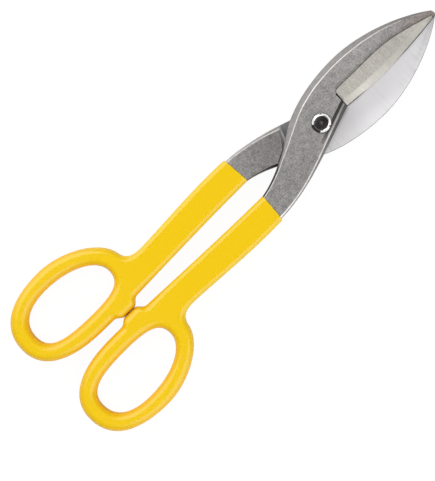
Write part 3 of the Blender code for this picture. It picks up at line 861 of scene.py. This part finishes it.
def ground_face(side):
    """Shear face ground smooth and pale; from the shoulder it is mid grey, then a pale line, then dark to
    about 13 mm behind the pivot.
    """
    finish, where = new_finish(f"{side}_ground_face", 1.0)
    lines = streaks(where, 1400.0, 40.0)
    cloud = noise(where, 60.0, 2.0)
    tone = sum_of(lines, cloud, 1.0)
    lean = -SHEAR_FACE_LEAN if side == "rear" else SHEAR_FACE_LEAN
    forward = sum_of(measured(where, "X"), measured(where, "Y"), lean)
    plain = greys_along(forward, SHEAR_FACE_GREYS, GROUND_TINT)
    colour = mottled(plain, tone, (0.7, 0.94), (1.0, 1.06))
    return dress(finish, colour, spread(lines, 0.62, 0.54), lines, 0.01 * MM, 0.3)


def forge_scale_and_shade():
    """Near-black scale in rebates and holes, painted shade in the gaps by strip and nut and on the shear
    face's rim; lighter towards the pivot.
    """
    finish, where = new_finish("forge_scale_and_shade", 1.0)
    crust = noise(where, 900.0, 4.0)
    tone = sum_of(crust, along_tool(where, HEEL_X, 0.0), 0.35)
    colour = tones(tone, (0.35, (0.05, 0.046, 0.043)), (0.65, (0.10, 0.094, 0.09)),
                   (1.0, (0.20, 0.19, 0.182)))
    return dress(finish, colour, spread(crust, 0.55, 0.75), crust, 0.06 * MM)


ground_faces = {side: ground_face(side) for side in SIDES}
blasted = {
    # The rear half's grey dips towards -26 mm, where the front half crosses over it: painted shade.
    "rear": blasted_steel("rear", (-54, 0.32), (-26, 0.245), (90, 0.30)),
    "front": blasted_steel("front", (-54, 0.33), (-20, 0.34), (14, 0.37), (42, 0.42), (62, 0.40),
                           (90, 0.39)),
}
# The groove's finish is painted shade: near black by the strip's heel, easing to the face's grey about 11
# mm behind the pivot.
runout_shade = shaded_flank_steel("runout_shade", (-11, 0.37), (-2, 0.15), (4, 0.09), (20, 0.075))
# Painted shade: each chamfer is toned for how light falls on it, darkest where the arms cross and on the
# heel's chamfer by the pivot.
shaded_flanks = [
    shaded_flank_steel("spine_flank", (-36, 0.04), (-33, 0.2), (-25, 0.25), (-10, 0.225), (30, 0.235), (60, 0.28)),
    shaded_flank_steel("heel_flank", (-54, 0.30), (-18, 0.27), (3, 0.14), (20, 0.13)),
    shaded_flank_steel("back_flank", (-54, 0.38), (-34, 0.36), (-22, 0.27)),
    shaded_flank_steel("crotch_flank", (-54, 0.2), (-44, 0.09), (-34, 0.02)),
]
ridges = [
    worn_steel("spine_ridge", (-54, 0.42), (-18, 0.39), (6, 0.53), (75, 0.52)),
    worn_steel("heel_ridge", (-54, 0.66), (-38, 0.48), (-18, 0.58), (-3, 0.60), (16, 0.24)),
    worn_steel("back_ridge", (-54, 0.34), (-34, 0.34), (-20, 0.41)),
    worn_steel("back_rim", (-54, 0.45), (-40, 0.85), (-22, 0.65)),
]
scale = forge_scale_and_shade()
for side in SIDES:
    forging_finishes = [blasted[side], ground_faces[side], scale, runout_shade] + shaded_flanks + ridges
    open_seat = strip_seat(WELD_GAP, HEEL_GAP, SHEAR_FACE + WELD_LIP, OVERSHOOT)
    tight_seat = strip_seat(WELD_SEAM, WELD_SEAM, -OVERSHOOT, SHEAR_FACE + 2 * WELD_LIP)
    steps = [("DIFFERENCE", tool) for tool in (lap_cutter(), open_seat, tight_seat, runout_groove())]
    steps.append(("UNION", handle_core()))
    steps += [("DIFFERENCE", hole) for hole in pivot_holes(side)]
    forging = shaded(break_rim(joined(mesh_of(forging_blank(), "blank"), forging_finishes, steps)))
    forging.transform(half_place(side))
    piece(f"{side}_forging", forging, f"{side}_half", f"{side}_blade")


# Cutting strips: tool steel forge-welded into a rebate along each blade's edge.
# The outer face is ground to a slope, a facet along the edge is honed, and the shear side is flat.

STRIP_RAISE = 0.4 * MM
EDGE_LAND = 0.5 * MM
EDGE_LEAN = 0.45 * MM
HONED_BEVEL = 4.2 * MM
HONED_SHARE = 0.8
HONED_RISE = 0.55
STRIP_SLOPE = 0.364
STRIP_BREAK = 0.2 * MM
STRIP_CRISP = 0.1 * MM
STRIP_SMOOTH_BELOW = math.radians(3)
WARM, PALE = (1.0, 0.955, 0.872), (1.0, 0.963, 0.885)

HONED, SHEARING, EDGE = range(1, 4)


def strip_section(x):
    """Cross-section of the strip: edge, back's foot, its break, back ridge, honed ridge and land."""
    edge, back = edge_at(x), strip_back_at(x)
    top = blade_top(x) + STRIP_RAISE
    broken = min(STRIP_BREAK, WIDTH_SHARE * (back - edge))
    honed = min(HONED_BEVEL, HONED_SHARE * (back - edge))
    across = [
        (edge, SHEAR_FACE),
        (back, SHEAR_FACE),
        (back, top - broken),
        (back - broken, top),
        (edge + honed, max(HONED_RISE * top, top - STRIP_SLOPE * (back - broken - edge - honed))),
        (edge + min(EDGE_LEAN, WIDTH_SHARE * (back - edge)), SHEAR_FACE + EDGE_LAND),
    ]
    return [Vector((x, y, z)) for y, z in across]


def cutting_strip():
    """The strip with its honed facet, heel end and lightly broken ridges."""
    form, corners = drawn_out([strip_section(x) for x in strip_stations()])
    facet = {corner for section in corners for corner in (section[4], section[5])}
    land = {corner for section in corners for corner in (section[5], section[0])}
    for face in form.faces:
        if face.normal.z < -LEVEL:
            face.material_index = SHEARING
        elif facet.issuperset(face.verts):
            face.material_index = HONED
        elif land.issuperset(face.verts):
            face.material_index = EDGE
    ridges = [edge for k in (2, 3, 4) for edge in along(form, corners, k)]
    heel = corners[0][2:6]
    ridges += [form.edges.get(pair) for pair in zip(heel, heel[1:])]
    eased(form, ridges, STRIP_CRISP)
    return mesh_of(form, "cutting_strip")


def wheel_ground():
    """Tool steel off the wheel: warm grey with fine lines across the strip and a blasted speckle."""
    finish, where = new_finish("wheel_ground", 1.0)
    lines = streaks(where, 1300.0, 150.0)
    grain = noise(where, 1150.0, 3.0)
    speckle = sum_of(grain, lines, 0.5)
    greys = ((18, 0.42), (45, 0.475), (60, 0.44), (70, 0.378), (88, 0.36))
    plain = greys_along(measured(where, "X"), greys, WARM)
    colour = mottled(plain, speckle, (0.5, 0.78), (1.0, 1.22))
    return dress(finish, colour, spread(lines, 0.54, 0.46), lines, 0.012 * MM, 0.4)


def honed_steel():
    """The facet along the cutting edge: finer, and brightest by the heel where the stone starts."""
    finish, where = new_finish("honed_steel", 1.0)
    lines = streaks(where, 2200.0, 120.0)
    greys = ((18, 0.36), (30, 0.48), (52, 0.42), (66, 0.425), (77, 0.375), (88, 0.40))
    plain = greys_along(measured(where, "X"), greys, PALE)
    colour = mottled(plain, lines, (0.3, 0.95), (0.7, 1.05))
    return dress(finish, colour, spread(lines, 0.52, 0.44), lines, 0.006 * MM, 0.3)


def shadowed_edge_land():
    """The narrow land at the very edge, near black as a painted shadow line, but lighter over its middle
    stretch.
    """
    finish, where = new_finish("shadowed_edge_land", 1.0)
    rub = noise(where, 800.0, 3.0)
    tone = sum_of(along_tool(where, HEEL_X, strip_end_x), rub, 0.1)
    dark, bright = (0.07, 0.067, 0.064), (0.60, 0.585, 0.55)
    colour = tones(tone, (0.17, dark), (0.27, bright), (0.55, bright), (0.7, dark))
    return dress(finish, colour, spread(rub, 0.5, 0.6), rub, 0.01 * MM, 0.3)


outer_face, facet, land = wheel_ground(), honed_steel(), shadowed_edge_land()
for side in SIDES:
    strip = shaded(cutting_strip(), STRIP_SMOOTH_BELOW)
    for finish in (outer_face, facet, ground_faces[side], land):
        strip.materials.append(finish)
    strip.transform(half_place(side))
    piece(f"{side}_strip", strip, f"{side}_half", f"{side}_cutting_edge")


# Grips: yellow vinyl, dipped over the arm, the finger loop and the stop lug of each half.
# The skin is about a millimetre thick, runs round all edges and ends in a mouth cut square to the arm.

GRIP_HALF = 6.0 * MM
GRIP_SIDE = 2.8 * MM
GRIP_ROUND = 3.1 * MM
GRIP_LAND = 0.2 * MM
GRIP_ROUNDS = 12
LOOP_SIDE = 1.2 * MM
LOOP_ROUND = 4.3 * MM
ROUNDER_FROM, ROUNDER_TO = 118.0 * MM, 150.0 * MM
GRIP_GLOSS = 4.4 * MM
GRIP_WALL = 0.95 * MM
MOUTH_LIP = 0.3 * MM
LIP_ABOVE = math.radians(60)
# A painted shadow, brown, along the line where the two stop lugs meet.
LUG_SHADOW_WIDTH = 0.8 * MM
LUG_SHADOW_BROWN = (0.5, 0.17, 0.002, 1.0)


def edge_levels(side, width):
    """Levels of a level side that turns over an elliptic edge into the flat back."""
    quarter = [math.pi / 2 * i / GRIP_ROUNDS for i in range(GRIP_ROUNDS + 1)]
    turn = [(width * (1 - math.cos(a)), side + (GRIP_HALF - side) * math.sin(a)) for a in quarter]
    return [(0.0, 0.0)] + turn + [(width + GRIP_LAND, GRIP_HALF)]


def growing_rounder(outline, levels):
    """An outline at the arm's level that eases to the loop's level on its way back to the finger loop."""
    points = []
    for arm, loop in zip(*(at_level(outline, level) for level in levels)):
        share = min(1.0, max(0.0, (-arm.x - ROUNDER_FROM) / (ROUNDER_TO - ROUNDER_FROM)))
        points.append(arm.lerp(loop, share * share * (3 - 2 * share)))
    return points


def dipped_skin():
    """The outer skin: flat along the arm, rounder round the loop, and open at the mouth."""
    levels = list(zip(edge_levels(GRIP_SIDE, GRIP_ROUND), edge_levels(LOOP_SIDE, LOOP_ROUND)))
    form = handle_form(levels, growing_rounder)
    cut_square(form, MOUTH_REACH, ahead=True)
    return mesh_of(form, "dipped_skin")


def dipped_vinyl():
    """Glossy vinyl, darker and more orange towards its sides as painted shade, most round the loops, with a
    painted shadow where the lugs meet.
    """
    finish, where = new_finish("dipped_vinyl", 0.0)
    off = reckoned("SUBTRACT", measured(where, "Z"), SHEAR_Z)
    height = reckoned("ABSOLUTE", off)
    cloud = noise(where, 45.0, 2.0)
    tone = sum_of(remapped(height, 0.0, GRIP_HALF), cloud, 0.1)
    # Painted shade: on loop and arm alike the colour darkens and turns orange where the skin turns down to
    # its sides.
    loop = tones(tone, (0.3, (0.90, 0.455, 0.001)), (0.65, (0.915, 0.505, 0.001)),
                 (0.9, (0.925, 0.565, 0.001)), (1.0, (0.93, 0.605, 0.001)))
    arm = tones(tone, (0.4, (0.83, 0.56, 0.01)), (0.8, (0.90, 0.61, 0.006)),
                (1.0, (0.93, 0.605, 0.001)))
    rounder = along_tool(where, -ROUNDER_FROM, -ROUNDER_TO)
    colour = mixed(rounder, arm, loop)
    soft = sum_of(spread(cloud, 0.12, 0.16), rounder, 0.14)
    # Painted shadow along the centreline, where the lugs meet.
    apart = reckoned("ABSOLUTE", measured(where, "Y"))
    lug_shadow = remapped(apart, 0.0, LUG_SHADOW_WIDTH, 1.0, 0.0, "SMOOTHSTEP")
    colour = mixed(lug_shadow, colour, LUG_SHADOW_BROWN)
    sag = noise(where, 45.0, 1.0)
    gloss = remapped(height, GRIP_SIDE, GRIP_GLOSS, 0.02, 0.5, "SMOOTHSTEP")
    feed(finish, {"Specular IOR Level": gloss})
    return dress(finish, colour, soft, sag, 0.3 * MM, 0.3)


vinyl = dipped_vinyl()
for side in SIDES:
    skin = shaded(dipped_skin())
    skin.materials.append(vinyl)
    skin.transform(half_place(side))
    grip = piece(f"{side}_dipped_grip", skin, f"{side}_half", f"{side}_grip")
    wall = grip.modifiers.new("wall", "SOLIDIFY")
    wall.thickness = GRIP_WALL
    wall.offset = -1.0
    wall.use_even_offset = True
    lip = grip.modifiers.new("lip", "BEVEL")
    lip.width = MOUTH_LIP
    lip.segments = SOFT_FACETS
    lip.limit_method = "ANGLE"
    lip.angle_limit = LIP_ABOVE


# Pivot bolt: blackened steel, keyed into the rear half by a square neck under its low head.
# Its domed end stands just inside the ring nut.

HEAD_HEIGHT = 2.0 * MM
HEAD_CHAMFER = 0.6 * MM
NUT_HEIGHT = 1.9 * MM
BOLT_END_SETBACK = 0.4 * MM
BOLT_DOME = 0.5 * MM
DOME_DEGREES = range(12, 91, 6)
BOLT_CENTRE_DEPTH = 0.25 * MM
BOLT_BREAK = 0.12 * MM
BOLT_RIM_ABOVE = math.radians(40)
BOLT_HIGHLIGHT_RADIUS = 1.9 * MM
NUT_LOW = SEAT_FLOOR + SEAT_GAP
NUT_TOP = NUT_LOW + NUT_HEIGHT


def bolt_solid():
    """Head, neck, shank and domed end with the small dimple that the lathe centre leaves."""
    head_top = -NUT_LOW
    head_low = head_top - HEAD_HEIGHT
    end = NUT_TOP - BOLT_END_SETBACK
    dome = []
    for degrees in DOME_DEGREES:
        a = math.radians(degrees)
        dome.append((SHANK_RADIUS * math.sin(a), end + BOLT_DOME * math.cos(a)))
    profile = [(0.0, end + BOLT_DOME - BOLT_CENTRE_DEPTH)] + dome + [
        (SHANK_RADIUS, head_top),
        (HEAD_RADIUS, head_top),
        (HEAD_RADIUS, head_low + HEAD_CHAMFER),
        (HEAD_RADIUS - HEAD_CHAMFER, head_low),
        (0.0, head_low),
    ]
    form = turned(profile)
    rims = [edge for edge in form.edges if edge.calc_face_angle(0.0) > BOLT_RIM_ABOVE]
    eased(form, rims, BOLT_BREAK)
    neck_low = head_top - HEAD_HEIGHT / 2
    neck_top = -SHEAR_FACE - SEAT_GAP
    neck = block(NECK_WIDTH, NECK_WIDTH, neck_top - neck_low)
    bmesh.ops.translate(neck, vec=(0.0, 0.0, (neck_top + neck_low) / 2), verts=neck.verts)
    return mesh_of(form, "bolt"), neck


def black_oxide():
    """Thin black oxide over turned steel, browned, with a painted highlight lightening the crown of its
    end.
    """
    finish, where = new_finish("black_oxide", 0.0)
    tree = finish.node_tree
    plan = add_node(tree, "Mapping", {"Vector": where, "Scale": (1.0, 1.0, 0.0)}).outputs["Vector"]
    radius = add_node(tree, "VectorMath", {0: plan}, operation="LENGTH").outputs["Value"]
    # A painted highlight lightens the centre of the end, fading out by 1.9 mm from the axis.
    painted_highlight = remapped(radius, 0.0, BOLT_HIGHLIGHT_RADIUS, 0.4, -0.15)
    smoke = noise(where, 800.0, 4.0, 0.75)
    tone = sum_of(painted_highlight, smoke, 1.0)
    colour = tones(tone, (0.38, (0.008, 0.005, 0.005)), (0.6, (0.026, 0.019, 0.017)),
                   (1.0, (0.15, 0.14, 0.132)))
    return dress(finish, colour, spread(smoke, 0.26, 0.42), smoke, 0.08 * MM, 0.8)


bolt_blank, bolt_neck = bolt_solid()
bolt = shaded(joined(bolt_blank, [black_oxide()], [("UNION", bolt_neck)]))
bolt.transform(Matrix.Translation((0.0, 0.0, SHEAR_Z)))
piece("black_bolt", bolt, "rear_half", "pivot_bolt")


# Ring nut: bright-plated steel, turned, with two spanner slots and a notch that carries a painted dark
# reflection.
# It is screwed onto the bolt's end, sits in the front half's seat and sets how stiff the blades are.

NUT_CHAMFER = 0.25 * MM
NUT_BREAK = 0.08 * MM
NUT_DISH_WIDTH = 0.5 * MM
NUT_DISH_DEPTH = 0.2 * MM
NUT_RIM_ABOVE = math.radians(30)
NUT_NOTCH_START, NUT_NOTCH_END = 147, 219
NUT_NOTCH_STEPS = 9
NUT_NOTCH_DEPTH = 0.8 * MM
NUT_NOTCH_REACH = 0.15 * MM

# The near-black finish is painted dark reflection and painted shade.
PAINTED_DARK, DISHED = range(1, 3)

# A slot has its turn in degrees, its width and depth in millimetres, and its finish.
NUT_SLOTS = ((51, 1.2, 0.25, DISHED), (296, 0.8, 0.9, PAINTED_DARK))


def ring_nut():
    """The turned ring with a dished inner rim, and the cutters of its slots and of the notch for the
    painted dark reflection.
    """
    bore = SHANK_RADIUS + BORE_CLEARANCE
    dish = bore + NUT_DISH_WIDTH
    form = turned([
        (bore, NUT_TOP - NUT_DISH_DEPTH),
        (dish, NUT_TOP),
        (NUT_RADIUS - NUT_CHAMFER, NUT_TOP),
        (NUT_RADIUS, NUT_TOP - NUT_CHAMFER),
        (NUT_RADIUS, NUT_LOW),
        (bore, NUT_LOW),
        (bore, NUT_TOP - NUT_DISH_DEPTH),
    ])
    for face in form.faces:
        # The outer chamfer is near black: painted shade.
        if UPRIGHT < face.normal.z < LEVEL:
            inner = face.calc_center_median().xy.length < dish
            face.material_index = DISHED if inner else PAINTED_DARK
    rims = [edge for edge in form.edges if edge.calc_face_angle(0.0) > NUT_RIM_ABOVE]
    eased(form, rims, NUT_BREAK, SOFT_FACETS)
    cutters = []
    for degrees, width, depth, finish in NUT_SLOTS:
        bar = block(NUT_RADIUS, width * MM, 2 * depth * MM)
        turn = Matrix.Rotation(math.radians(degrees), 3, "Z")
        bmesh.ops.rotate(bar, cent=(0, 0, 0), matrix=turn, verts=bar.verts)
        bmesh.ops.translate(bar, vec=heading(degrees) * (dish + NUT_RADIUS / 2), verts=bar.verts)
        bmesh.ops.translate(bar, vec=(0.0, 0.0, NUT_TOP), verts=bar.verts)
        cutters.append(finished(bar, finish))
    # The notch stands where the ring shows a dark reflection, and its near-black finish paints it.
    turns = np.linspace(NUT_NOTCH_START, NUT_NOTCH_END, NUT_NOTCH_STEPS)
    plan = [heading(turn) * (dish - NUT_NOTCH_REACH) for turn in turns]
    plan += [heading(turn) * 2 * NUT_RADIUS for turn in turns[::-1]]
    levels = (NUT_TOP - NUT_NOTCH_DEPTH, NUT_TOP + NUT_NOTCH_DEPTH)
    notch, _ = drawn_out([raised(plan, z) for z in levels])
    cutters.append(finished(notch, PAINTED_DARK))
    return mesh_of(form, "nut"), cutters


def plated_steel(name, metallic, marks, dark, light, rough, depth, strength):
    """Zinc over turned steel, its tone and gloss broken up by marks of a noise's (scale, detail)."""
    finish, where = new_finish(name, metallic)
    mark = noise(where, *marks)
    colour = tones(mark, (0.35, dark), (0.7, light))
    return dress(finish, colour, spread(mark, *rough), mark, depth, strength)


# The face is near white, a painted reflection of the bright studio. The notch is near black, a painted dark
# reflection, and the deep slot and the chamfer are near black with painted shade. The dished rim and the
# shallow slot are bright.
nut_finishes = [
    plated_steel("painted_reflection_zinc", metallic=0.2, marks=(900.0, 2.0), dark=(0.97, 0.97, 0.97),
                 light=(0.99, 0.99, 0.98), rough=(0.25, 0.35), depth=0.01 * MM, strength=0.3),
    plated_steel("painted_dark_zinc", metallic=0.3, marks=(700.0, 3.0), dark=(0.008, 0.006, 0.006),
                 light=(0.035, 0.030, 0.028), rough=(0.4, 0.6), depth=0.03 * MM, strength=0.5),
    plated_steel("bright_zinc", metallic=1.0, marks=(900.0, 2.0), dark=(0.82, 0.81, 0.80),
                 light=(0.90, 0.89, 0.88), rough=(0.18, 0.26), depth=0.01 * MM, strength=0.3),
]
nut_blank, nut_cutters = ring_nut()
nut = shaded(joined(nut_blank, nut_finishes, [("DIFFERENCE", cutter) for cutter in nut_cutters]))
nut.transform(Matrix.Translation((0.0, 0.0, SHEAR_Z)))
piece("ring_nut", nut, "rear_half", "pivot_nut")


# Studio: a camera straight above the tool, a white floor that keeps a faint shadow, and soft light.
# Large softboxes stand at the picture's upper left and lower right, and a dim one hangs overhead.

PHOTO_WIDTH, PHOTO_HEIGHT = 435, 481
PIXEL = 0.5705 * MM
PIVOT_PIXEL = (320.71, 123.78)
TOOL_TURN = math.radians(44.59)
LENS = 100.0
SENSOR = 36.0

right = flat(math.cos(TOOL_TURN), -math.sin(TOOL_TURN))
up = flat(math.sin(TOOL_TURN), math.cos(TOOL_TURN))
pixels_right = PHOTO_WIDTH / 2 - PIVOT_PIXEL[0]
pixels_up = PIVOT_PIXEL[1] - PHOTO_HEIGHT / 2
view_centre = (right * pixels_right + up * pixels_up) * PIXEL
camera = placed("camera", bpy.data.cameras.new("camera"))
camera.data.lens = LENS
camera.data.sensor_width = SENSOR
camera.location = view_centre + Vector((0, 0, SHEAR_Z + PHOTO_HEIGHT * PIXEL * LENS / SENSOR))
camera.rotation_euler = (0.0, 0.0, -TOOL_TURN)
bpy.context.scene.camera = camera

FLOOR_SIZE = 12.0
FLOOR_DROP = 0.05 * MM
FLOOR_ALBEDO = 0.8
FLOOR_SEEN_ALBEDO = 0.07
FLOOR_SEEN_GLOW = 0.95


def white_floor():
    """White to the eye and in reflections, with the tool's shadow kept, and plain pale to other light."""
    finish = bpy.data.materials.new("white_floor")
    finish.use_nodes = True
    tree = finish.node_tree
    tree.nodes.remove(tree.nodes["Principled BSDF"])
    path = add_node(tree, "LightPath", {}).outputs
    seen = path["Is Camera Ray"]
    for ray in ("Is Glossy Ray", "Is Transmission Ray"):
        seen = reckoned("MAXIMUM", seen, path[ray])
    plain = add_node(tree, "BsdfDiffuse", {"Color": (FLOOR_ALBEDO,) * 3 + (1.0,)})
    faint = add_node(tree, "BsdfDiffuse", {"Color": (FLOOR_SEEN_ALBEDO,) * 3 + (1.0,)})
    glow = add_node(tree, "Emission", {"Color": (1, 1, 1, 1), "Strength": FLOOR_SEEN_GLOW})
    white = add_node(tree, "AddShader", {0: faint.outputs["BSDF"], 1: glow.outputs["Emission"]})
    floor = add_node(tree, "MixShader", {0: seen, 1: plain.outputs["BSDF"], 2: white.outputs["Shader"]})
    tree.links.new(floor.outputs["Shader"], tree.nodes["Material Output"].inputs["Surface"])
    return finish


floor_form = bmesh.new()
bmesh.ops.create_grid(floor_form, x_segments=1, y_segments=1, size=FLOOR_SIZE / 2)
bmesh.ops.translate(floor_form, vec=(0.0, 0.0, -FLOOR_DROP), verts=floor_form.verts)
floor = placed("floor", mesh_of(floor_form, "floor"))
floor.data.materials.append(white_floor())

AMBIENT = 0.2
LIGHT_DISTANCE = 1.4
world = bpy.data.worlds.new("studio")
world.use_nodes = True
sky = world.node_tree.nodes["Background"]
sky.inputs["Color"].default_value = (1.0, 1.0, 1.0, 1.0)
sky.inputs["Strength"].default_value = AMBIENT
bpy.context.scene.world = world


def softbox(name, towards, elevation, width, height, radiance):
    """A rectangular area light that faces the middle of the tool, by the brightness of its face."""
    light = bpy.data.lights.new(name, "AREA")
    light.shape = "RECTANGLE"
    light.size = width
    light.size_y = height
    light.energy = radiance * math.pi * width * height
    lamp = placed(name, light)
    rise = math.radians(elevation)
    place = (towards.normalized() * math.cos(rise) + Vector((0, 0, math.sin(rise)))) * LIGHT_DISTANCE
    lamp.location = view_centre + place
    lamp.rotation_mode = "QUATERNION"
    lamp.rotation_quaternion = (-place).to_track_quat("-Z", "Y")


softbox("overhead", up, elevation=89.0, width=1.6, height=1.6, radiance=0.06)
softbox("key", up - right, elevation=38.0, width=1.5, height=1.75, radiance=2.4)
softbox("fill", right - up, elevation=38.0, width=1.5, height=1.75, radiance=2.0)

bpy.context.scene.view_settings.view_transform = "Standard"

bpy.context.view_layer.update()
